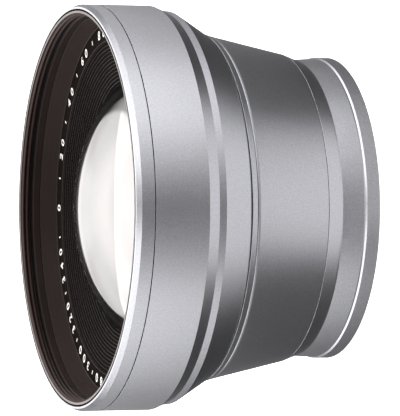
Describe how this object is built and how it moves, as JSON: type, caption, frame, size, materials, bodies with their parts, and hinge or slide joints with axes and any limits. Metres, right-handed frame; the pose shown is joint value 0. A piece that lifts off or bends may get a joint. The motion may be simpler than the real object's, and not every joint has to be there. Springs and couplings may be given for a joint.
{
  "type": "tele conversion lens",
  "caption": "Turned silver barrel that widens towards a black threaded recess with a ribbed cone and domed front glass; a threaded rear end screws onto a camera lens.",
  "frame": {"origin": "centre of the rear face, which is the face it stands on, with the optical axis through it", "axes": "+Z along the optical axis towards the front glass; the part is turned, so X and Y are free"},
  "size_m": [0.07, 0.07, 0.0461],
  "materials": {
    "silver_anodised": "bead-blasted satin anodised",
    "black_anodised": "satin black anodised",
    "black_matt": "matt black anti-reflection",
    "coated_glass": "polished, coated",
    "plain_glass": "polished",
    "brass_shim": "bare",
    "black_steel": "blackened"
  },
  "bodies": {
    "root": {"front_filter_ring": "silver_anodised", "front_thread_sleeve": "black_anodised", "main_barrel": "silver_anodised", "rear_barrel": "silver_anodised", "rear_mount_ring": "silver_anodised", "front_name_ring": "black_anodised", "front_cell": "black_anodised", "front_retaining_ring": "black_anodised", "light_baffle_tube": "black_matt", "rear_cell": "black_anodised", "rear_retaining_ring": "black_anodised", "rear_spacer_ring": "black_matt", "rear_cell_shim": "brass_shim", "front_lens_element": "coated_glass", "second_lens_element": "plain_glass", "third_lens_element": "plain_glass", "rear_lens_element": "coated_glass", "front_cell_screws": "black_steel", "rear_cell_screws": "black_steel", "mount_ring_screws": "black_steel"}
  },
  "joints": []
}
